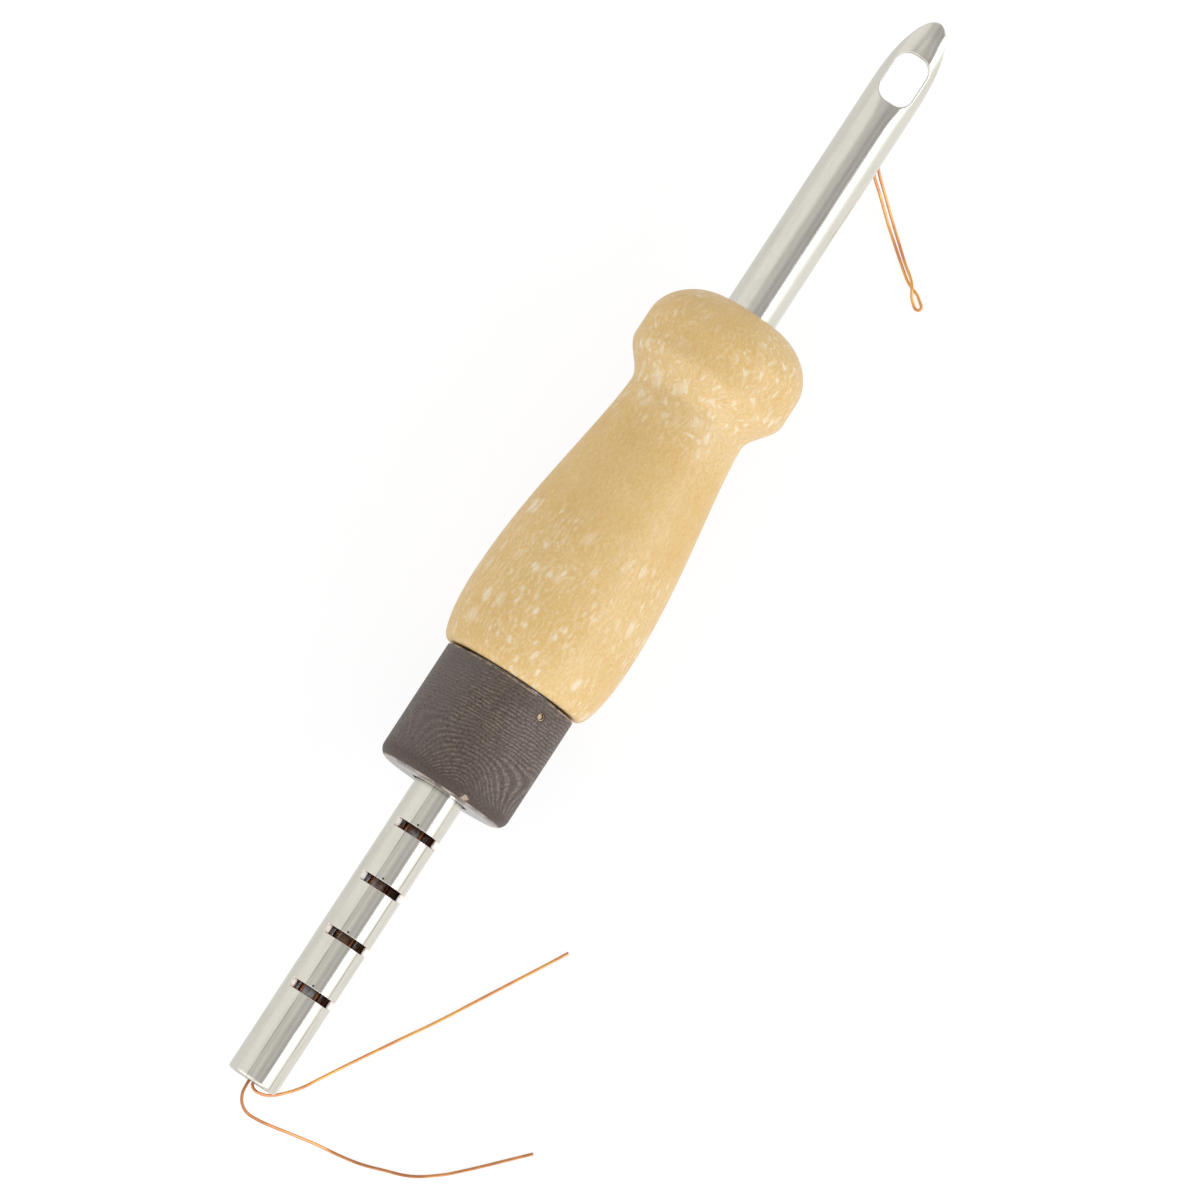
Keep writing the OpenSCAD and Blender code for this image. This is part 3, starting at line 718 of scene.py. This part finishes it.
from_cut = repeated(tree, where, notches[0])
height = vector(tree, "DOT_PRODUCT", way(tree, (0, 0, axis_mm), where),
                (0, -math.sin(NOTCH_TURN), math.cos(NOTCH_TURN)))["Value"]
floor = times(tree, soft_line(tree, height, NOTCH_FLOOR, 0.12), levels(tree, from_cut, 0.62, 0.56))
wall = times(tree, soft_line(tree, from_cut, NOTCH_WIDTH / 2, 0.09),
             levels(tree, height, NOTCH_FLOOR - 0.1, NOTCH_FLOOR))
sawn_and_lit = times(tree, most(tree, floor, wall), past(tree, where, collar_x + 3, collar_x + 2),
             levels(tree, bore, 1.0, 0.0), past(tree, where, notches[0] - 2, notches[0] - 1))
# Painted light: the cuts' walls and floors get a pale, pinkish colour for the light they catch. Their matt
# finish is real.
colour = blend(tree, sawn_and_lit, colour, SAWN_AND_LIT)
print("steel so far:", len(tree.nodes), "nodes")

# %% [markdown]
# The die that drew the tube left dark hairlines on it, and the threader's wire is mirrored in it as one more
# dark line. All three are painted on: the line at 44.5 degrees is a painted reflection of the wire, and the
# other two are die lines. Each keeps its angle round the tube and comes and goes along it. A line is an angle
# here, in degrees from the top, with half its width and its strength.

# %% Steel, die lines, a painted reflection and gloss
DIE_AND_REFLECTED_LINES = [(-14.5, 2.2, 0.55), (31.3, 1.2, 0.9), (44.5, 1.5, 0.9)]
DIE_AND_REFLECTION_GREY, MOTTLE = (0.24, 0.215, 0.19, 1), (0.55, 0.53, 0.46, 1)

around = maths(tree, "ARCTAN2", times(tree, along(tree, where, "Y"), -1.0),
               minus(tree, along(tree, where, "Z"), axis_mm))
tail_part = past(tree, where, collar_x + 6, collar_x + 3)
# The line at 44.5 degrees is a painted reflection of the threader's wire. The others are die lines.
for angle, half_width, strength in DIE_AND_REFLECTED_LINES:
    die_and_reflected_line = soft_line(tree, around, math.radians(angle), math.radians(half_width))
    share = levels(tree, clouds, 0.0, 1.0, strength * 0.6, strength)
    colour = blend(tree, times(tree, die_and_reflected_line, tail_part, share), colour, DIE_AND_REFLECTION_GREY)
mottle = noise(tree, where, 1.6, 4.0, 0.6)
colour = blend(tree, levels(tree, mottle, 0.35, 0.65, 0.0, 0.1), colour, MOTTLE)

rough = plus(tree, levels(tree, drawn_mask, 0.3, 0.7, 0.09, 0.17), times(tree, clouds, 0.04))
rough = plus(tree, rough, times(tree, bore, 0.12))
rough = plus(tree, rough, times(tree, sawn_and_lit, 0.35))
finished(tree, shader, colour, rough, drawn_mask, 0.04, 0.0001)
dressed(tube, steel)

# %% [markdown]
# ## Grip material
# The grip is a pale, honey-coloured wood with ray flecks: small cream lenses that lie along the grain, thick
# at the belly and the knob and almost absent on the smooth flank before the waist. Fine fibres run through
# them, and round the knob the grain curls.
#
# The flecks are the cells of a Voronoi texture, stretched along the tool and bent by noise. A random value
# of each cell decides whether it shows and how large and how pale it is.

# %% Flecks
FLANK, NECK = (-1.0, 4.0, 18.0, 13.0), (15.5, 19.5, 28.0, 24.0)

wood, tree, shader = material("flecked_wood", roughness=0.45, Specular_IOR_Level=0.5)
where = place_in_mm(tree)
knob_share = past(tree, where, 13.0, 21.0)
curl = blend(tree, knob_share, bent(tree, where, 5.0, 0.8), bent(tree, where, 3.2, 2.2))

def flecks(stretch, cells_per_mm, shown_from, size, soft, seed):
    """Pale lenses, one in each cell whose lot is above shown_from."""
    laid = vector(tree, "ADD", vector(tree, "MULTIPLY", curl, (1 / stretch, 1, 1))[0], (seed, seed, seed))[0]
    cell = add(tree, "TexVoronoi", {"Vector": laid, "Scale": cells_per_mm, "Randomness": 1.0})
    lot = add(tree, "SeparateColor", {0: cell.outputs["Color"]}).outputs
    reach = levels(tree, lot[0], shown_from, 1.0, 0.0, size)
    shape = levels(tree, minus(tree, reach, cell.outputs["Distance"]), 0.0, soft)
    return times(tree, shape, levels(tree, lot[1], 0.0, 1.0, 0.6, 1.0))

def between(tree, where, rise_from, rise_to, fall_from, fall_to):
    return times(tree, past(tree, where, rise_from, rise_to), past(tree, where, fall_from, fall_to))

shifted = vector(tree, "ADD", where, (4.0, 9.0, 0.0))[0]
crowd = cloudy(tree, shifted, 8.0, 0.36, 0.58)
flank = between(tree, where, *FLANK)
neck = between(tree, where, *NECK)
crowd = most(tree, levels(tree, crowd, 0.0, 1.0, 0.25, 1.0), times(tree, neck, 0.85))
crowd = times(tree, crowd, levels(tree, flank, 0.0, 1.0, 1.0, 0.1))
fibre = drawn_lines(tree, curl, 3.2, 4.0)
grain = noise(tree, curl, 2.6, 3.0, 0.6)

large = flecks(1.9, 0.6, 0.12, 0.56, 0.34, 0.0)
small = flecks(1.8, 1.15, 0.1, 0.57, 0.34, 7.3)
specks = flecks(1.5, 2.3, 0.15, 0.58, 0.35, 3.1)
fleck = times(tree, most(tree, most(tree, large, small), times(tree, specks, 0.4)), crowd)
ragged = noise(tree, curl, 4.5, 3.0, 0.7)
fleck = times(tree, fleck, levels(tree, fibre, 0.36, 0.62, 0.6, 1.0),
              levels(tree, ragged, 0.3, 0.6, 0.7, 1.0))
print("flecks:", len(tree.nodes), "nodes")

# %% [markdown]
# The wood is coloured in layers, as it would be painted: slow changes of warmth first, then a paler band on
# the neck, which is painted light where the knob's shoulder catches it, the fibres, the darker grain and, on
# top, the flecks.

# %% Grip material
HONEY, STRAW, NECK_PAINTED_LIGHT = (0.70, 0.455, 0.162, 1), (0.74, 0.51, 0.21, 1), (0.84, 0.71, 0.49, 1)
FIBRE, GRAIN, FLECK = (0.82, 0.66, 0.41, 1), (0.57, 0.36, 0.13, 1), (0.86, 0.76, 0.58, 1)

ground = blend(tree, cloudy(tree, where, 10.0, 0.3, 0.7), HONEY, STRAW)
# Painted light: a faint cream band on the neck, where the knob's shoulder catches the light.
ground = blend(tree, times(tree, neck, 0.12), ground, NECK_PAINTED_LIGHT)
fibre_share = times(tree, levels(tree, fibre, 0.42, 0.7), levels(tree, crowd, 0.0, 1.0, 0.25, 0.5))
ground = blend(tree, fibre_share, ground, FIBRE)
ground = blend(tree, levels(tree, grain, 0.38, 0.56, 0.3, 0.0), ground, GRAIN)
colour = blend(tree, times(tree, fleck, 0.9), ground, FLECK)
rough = levels(tree, fleck, 0.0, 1.0, 0.42, 0.52)
relief = plus(tree, times(tree, fleck, 0.5), times(tree, grain, 0.6))
finished(tree, shader, colour, rough, relief, 0.3, 0.00008)
dressed(grip, wood)

# %% [markdown]
# ## Collar material
# The collar is dark, stabilised wood. Its growth layers show on the outside as rows of pale dots about
# 0.5 mm apart. They run round the barrel and bulge round a knot near the rear end, like the lines of a
# fingerprint. A height is worked out for each point: how far along the collar it lies, plus a share of its
# distance from the knot that fades towards the front. Each row of dots is one layer of that height.

# %% Collar layers
LAYER = 0.46
LAYERS_PER_MM = 2 * math.pi / LAYER

dark, tree, shader = material("dark_layered_wood", roughness=0.5, Specular_IOR_Level=0.42)
where = place_in_mm(tree)
behind = minus(tree, along(tree, where), collar_x)
wavy = bent(tree, bent(tree, where, 4.0, 0.5), 0.9, 0.14)
from_knot = way(tree, (collar_x, -1.0, axis_mm + COLLAR_R), wavy)
parts = add(tree, "SeparateXYZ", {0: from_knot}).outputs
round_knot = length(tree, add(tree, "CombineXYZ", {
    "X": 1.2, "Y": parts["Y"], "Z": times(tree, parts["Z"], 0.7)}).outputs[0])
pull = levels(tree, parts["X"], 0.5, 9.0, 0.82, 0.04)
height = plus(tree, parts["X"], times(tree, pull, round_knot))
height = plus(tree, height, times(tree, parts["Y"], 0.07))
wave = maths(tree, "SINE", times(tree, height, LAYERS_PER_MM))
dots = noise(tree, where, 2.8, 3.0, 0.6)
layer = times(tree, levels(tree, wave, -0.6, 0.95), levels(tree, dots, 0.37, 0.63, 0.1, 1.0))
shifted = vector(tree, "ADD", where, (0.0, 3.0, 5.0))[0]
shown = cloudy(tree, shifted, 6.0, 0.34, 0.52)
faded = levels(tree, plus(tree, parts["Y"], times(tree, shown, -2.0)), 1.2, 4.8)
shown = times(tree, levels(tree, shown, 0.0, 1.0, 0.5, 1.0), levels(tree, faded, 0.0, 1.0, 1.0, 0.45),
              levels(tree, behind, 1.0, 2.6))
fuzz = noise(tree, where, 3.6, 4.0, 0.72)
print("layers", LAYER, "mm apart:", len(tree.nodes), "nodes")

# %% [markdown]
# Use has left marks on the collar: three hairline scratches and a small chip at the rear. Light and shade are
# painted on it too: a pale painted highlight along the front rim, a pale painted highlight on the lip round
# the polished end face, painted shade round the roll pin and a painted shadow round the tube's hole. Each is
# a mask of its own.

# %% Collar marks
# Scratches from one (x, y) to another, as on_collar takes them, and their widths
HAIRLINES = [(12.9, -5.3, 14.2, -5.35, 0.07), (15.6, -7.1, 16.3, -7.3, 0.12), (16.3, -6.6, 16.4, -7.3, 0.1)]
CHIP_AT = (collar_x + 0.57, -3.0, axis_mm + 8.4)

def on_collar(x, y):
    """A place on top of the collar, from its rear end and the tool's middle."""
    return (collar_x + x, y, axis_mm + math.sqrt(COLLAR_R ** 2 - y ** 2))

polished = levels(tree, behind, 0.3, 0.12)
# Painted highlight: a pale line along the rounded front rim, broken up by noise.
rim_highlight = times(tree, past(tree, where, rim_x - 0.3, rim_x - 0.14),
             levels(tree, noise(tree, where, 1.2, 3.0), 0.42, 0.56, 0.1, 1.0))
# Painted highlight: a pale line on the rounded lip round the polished end face, broken up by noise.
lip_highlight = times(tree, levels(tree, behind, 0.36, 0.28), levels(tree, behind, 0.03, 0.1),
            levels(tree, noise(tree, where, 0.5, 4.0, 0.7), 0.35, 0.62, 0.15, 1.0))
# Painted shadow: a near-black ring on the end face round the tube's hole, for the shadow in the gap there.
hole_shadow = levels(tree, from_axis(tree, where), END_HOLE_R + 0.36, END_HOLE_R + 0.26)
marks = 0.0
for x0, y0, x1, y1, width in HAIRLINES:
    mark = use(tree, scratch, {"Place": where, "From": on_collar(x0, y0), "To": on_collar(x1, y1),
                               "Width in mm": width})["Mask"]
    marks = most(tree, mark, marks)
pin_axis = (0.0, -math.sin(PIN_TURN), math.cos(PIN_TURN))
from_pin = length(tree, vector(tree, "CROSS_PRODUCT", way(tree, (pin_x, 0.0, axis_mm), where), pin_axis)[0])
# Painted shade: a darker ring round the roll pin, where the shade of its hole falls.
pin_shade = times(tree, levels(tree, from_pin, 1.1, 0.55), levels(tree, dots, 0.35, 0.6, 0.5, 1.0))
from_chip = length(tree, way(tree, CHIP_AT, bent(tree, where, 0.35, 0.4, 3.0)))
chip = times(tree, levels(tree, from_chip, 0.62, 0.3), levels(tree, fuzz, 0.35, 0.55, 0.2, 1.0))
# The stain in this count is the painted shade round the roll pin.
print("marks:", len(HAIRLINES), "scratches, a stain and a chip")

# %% Collar material
BROWN, LIGHT_BROWN, GREY_BROWN, REAR_BROWN = (
    (0.050, 0.034, 0.026, 1), (0.118, 0.085, 0.068, 1), (0.125, 0.105, 0.093, 1), (0.062, 0.041, 0.031, 1))
DOT, DULL_DOT, PIN_SHADE, RIM_HIGHLIGHT = (
    (0.250, 0.200, 0.158, 1), (0.172, 0.140, 0.115, 1), (0.075, 0.040, 0.026, 1), (0.40, 0.31, 0.23, 1))
LIP_HIGHLIGHT, CHIP, SCRATCH, HOLE_SHADOW = (
    (0.50, 0.42, 0.36, 1), (0.50, 0.39, 0.30, 1), (0.50, 0.43, 0.34, 1), (0.012, 0.010, 0.009, 1))

ground = blend(tree, levels(tree, fuzz, 0.34, 0.66), BROWN, LIGHT_BROWN)
cool = times(tree, faded, levels(tree, fuzz, 0.3, 0.62, 0.3, 1.0))
ground = blend(tree, times(tree, cool, 0.75), ground, GREY_BROWN)
ground = blend(tree, levels(tree, behind, 4.0, 0.8, 0.0, 0.6), ground, REAR_BROWN)
dotted = times(tree, layer, shown)
colour = blend(tree, dotted, ground, blend(tree, fuzz, DOT, DULL_DOT))
for share, shade in ((pin_shade, PIN_SHADE), (rim_highlight, RIM_HIGHLIGHT), (times(tree, lip_highlight, 0.85), LIP_HIGHLIGHT), (chip, CHIP),
                     (times(tree, marks, 0.6), SCRATCH), (hole_shadow, HOLE_SHADOW)):
    colour = blend(tree, share, colour, shade)

rough = minus(tree, levels(tree, fuzz, 0.3, 0.7, 0.58, 0.48), times(tree, polished, 0.36))
rough = plus(tree, rough, times(tree, hole_shadow, 0.5))
relief = times(tree, plus(tree, dotted, fuzz), levels(tree, polished, 0.0, 1.0, 1.0, 0.05))
finished(tree, shader, colour, rough, relief, 0.4, 0.00007)
dressed(collar, dark)

# %% [markdown]
# ## Brass, copper, rubber and the turned sleeve
# The roll pin is dull brass. The threader is enamelled copper, orange on the loop and the longer tail and
# redder on the shorter one. Where it lies in the tube it is painted darker, as painted shade inside the tube.
# The core sleeve and the lock fork are plain turned steel and hide inside the collar, with a rubber ring that
# holds the collar where it is put. One function makes all the metals, which differ only in colour and polish.

# %% Small finishes
def metal(name, bright, dull, roughness, patch_size):
    made, tree, shader = material(name, Metallic=1.0)
    where = place_in_mm(tree)
    mask = cloudy(tree, where, patch_size, 0.38, 0.62)
    rough = levels(tree, mask, 0.0, 1.0, roughness, roughness + 0.14)
    fine = drawn_lines(tree, where, 8.0, 20.0)
    finished(tree, shader, blend(tree, mask, bright, dull), rough, fine, 0.08, 0.00005)
    return made

brass = metal("dull_brass", (0.42, 0.33, 0.22, 1), (0.20, 0.14, 0.09, 1), 0.42, 0.35)
copper = metal("copper_wire", (0.90, 0.49, 0.16, 1), (0.74, 0.33, 0.14, 1), 0.36, 5.0)
red_copper = metal("red_copper_wire", (0.72, 0.33, 0.13, 1), (0.52, 0.22, 0.09, 1), 0.38, 5.0)
# Painted shade: the strands inside the tube get a darker copper that stands in for the shade there.
shaded_strand_copper = metal("copper_in_painted_shade", (0.62, 0.26, 0.11, 1), (0.26, 0.10, 0.05, 1), 0.3, 2.0)
turned = metal("turned_steel", (0.66, 0.66, 0.65, 1), (0.54, 0.54, 0.53, 1), 0.3, 3.0)

rubber, tree, shader = material("black_rubber", roughness=0.7)
dust = cloudy(tree, place_in_mm(tree), 1.5)
tree.links.new(blend(tree, dust, (0.02, 0.02, 0.02, 1), (0.05, 0.048, 0.045, 1)), shader.inputs["Base Color"])

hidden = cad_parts
for piece, finish in ((pin, brass), (strands, shaded_strand_copper), (tail_short, red_copper), (loop, copper),
                      (tail_long, copper), (hidden["core_sleeve"], turned), (hidden["lock_fork"], turned),
                      (hidden["friction_ring"], rubber)):
    dressed(piece, finish)

# %% [markdown]
# ## Table and light
# The tool lies on plain white. The table is a diffuse white that also glows a little, but only where the
# camera or a shiny surface looks at it, so it reaches white and still takes the tool's soft shadow. What
# shiny metal mirrors of it is a little brighter on the lamp's side.

# %% Table
TABLE_SIZE, GLOW_SHARE, SEEN_WHITE = 4, 0.75, 1.14

bpy.ops.mesh.primitive_plane_add(size=TABLE_SIZE, location=(0, 0, 0))
table = bpy.context.object
table.name = "table"
white, tree, shader = material("white_table", 0.9, Base_Color=(0.72, 0.72, 0.72, 1), Specular_IOR_Level=0.0)
path = add(tree, "LightPath").outputs
seen = most(tree, path["Is Camera Ray"], path["Is Glossy Ray"])
mirrored = levels(tree, along(tree, place_in_mm(tree), "Y"), 15.0, -15.0, 0.92, 1.1)
strength = levels(tree, path["Is Camera Ray"], 0.0, 1.0, mirrored, SEEN_WHITE)
glow = add(tree, "Emission", {"Color": (1, 1, 1, 1), "Strength": strength}).outputs[0]
share = times(tree, seen, GLOW_SHARE)
surface = add(tree, "MixShader", {0: share, 1: shader.outputs[0], 2: glow}).outputs[0]
tree.links.new(surface, tree.nodes["Material Output"].inputs["Surface"])
dressed(table, white)

# %% [markdown]
# The light is a tent round the tool. Polished steel is a picture of that tent, so its brightness is set by
# the direction round the needle's axis: a dimmer gap overhead, where a camera would look in, and a bright
# panel low on the side towards the lower right of the picture. The gap is a little less dim towards the
# tail, and the tent is brighter behind the tool, which lights the knob's shoulder and the collar's end face.

# %% Light tent
# Brightness by the angle round the axis, in degrees from straight up towards the lamp's side
TENT = [(-180, 0.66), (-100, 0.84), (-75, 0.97), (-50, 0.98), (-34, 0.93), (-21, 0.66), (-4, 0.65),
        (3, 0.56), (9, 0.47), (14, 0.45), (22, 0.54), (28, 0.52), (34, 0.4), (40, 0.42), (47, 0.8),
        (52, 1.25), (60, 1.3), (82, 1.3), (87, 1.0), (90, 1.1), (100, 1.05), (180, 0.7)]
GAP_LIFT, REAR_LIGHT = 1.2, 0.75

world = bpy.data.worlds.new("tent")
bpy.context.scene.world = world
world.use_nodes = True
tree = world.node_tree
toward = add(tree, "SeparateXYZ", {0: add(tree, "TexCoord").outputs["Generated"]}).outputs
turn = maths(tree, "ARCTAN2", times(tree, toward["Y"], -1.0), toward["Z"])
share = add(tree, "MapRange", {"Value": turn, "From Min": -math.pi, "From Max": math.pi}).outputs[0]
ramp = add(tree, "ValToRGB", {0: share})
stops = ramp.color_ramp.elements
for angle, value in TENT[1:-1]:
    stops.new((angle + 180) / 360)
for stop, (angle, value) in zip(stops, TENT):
    stop.color = (value, value, value, 1)
tree.links.new(ramp.outputs[0], tree.nodes["Background"].inputs["Color"])

gap = times(tree, levels(tree, turn, math.radians(-18), math.radians(-5)),
            levels(tree, turn, math.radians(46), math.radians(34)))
lifted = levels(tree, times(tree, gap, levels(tree, toward["X"], 0.12, 0.07)), 0.0, 1.0, 1.0, GAP_LIFT)
behind_tool = levels(tree, toward["X"], -0.15, -0.75, 0.0, REAR_LIGHT)
tree.links.new(plus(tree, lifted, behind_tool), tree.nodes["Background"].inputs["Strength"])
print("tent of", len(stops), "brightnesses")

# %% [markdown]
# One large soft lamp on the bright side gives the grip its rounder, lighter flank and the tool a faint
# shadow to its upper left. It is a little cooler than the tent, like daylight.

# %% Soft lamp
LAMP_AT, LAMP_SIZE = Vector((0.1, -1.22, 0.73)), (1.1, 0.52)
LAMP_POWER, LAMP_COLOUR = 5.2, (0.94, 0.965, 1.08)

lamp = bpy.data.lights.new("side_lamp", "AREA")
lamp.shape = "RECTANGLE"
lamp.size, lamp.size_y = LAMP_SIZE
lamp.energy = LAMP_POWER
lamp.color = LAMP_COLOUR
side_lamp = bpy.data.objects.new("side_lamp", lamp)
bpy.context.scene.collection.objects.link(side_lamp)
side_lamp.location = LAMP_AT
side_lamp.rotation_euler = (-LAMP_AT).to_track_quat("-Z", "Y").to_euler()
print("lamp", round(LAMP_AT.length, 2), "m from the tool")

# %% [markdown]
# ## Sizes
# Dressing must not change the tool's size. Both boxes are written down.

# %% Write down the boxes and finish
def plain(box):
    return [[round(c, 6) for c in corner] for corner in box]
